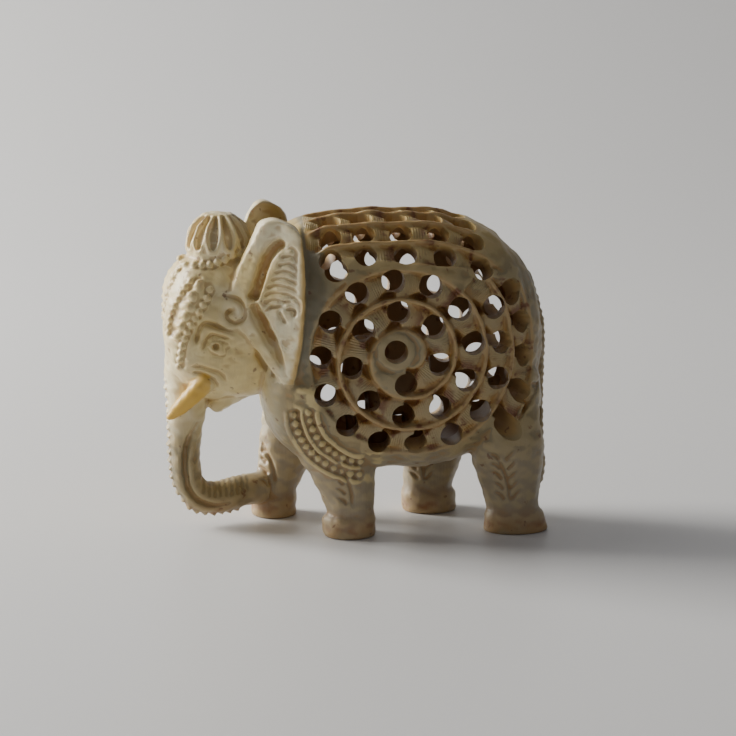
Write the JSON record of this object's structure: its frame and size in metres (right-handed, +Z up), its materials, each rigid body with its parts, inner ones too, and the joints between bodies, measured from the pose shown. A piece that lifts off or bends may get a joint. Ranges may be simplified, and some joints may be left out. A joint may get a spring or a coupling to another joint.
{
  "type": "carved openwork soapstone elephant",
  "caption": "Small soapstone elephant with a hollow body pierced by a spiral lattice and a smaller elephant inside.",
  "frame": {"origin": "on the surface it stands on, under the middle of its bounding box", "axes": "+Z up, +X from head to tail, the head looks towards -X and the tail end is +X"},
  "size_m": [0.1003, 0.048, 0.0839],
  "materials": {
    "soapstone": "satin"
  },
  "bodies": {
    "root": {"elephant": "soapstone"}
  },
  "joints": []
}
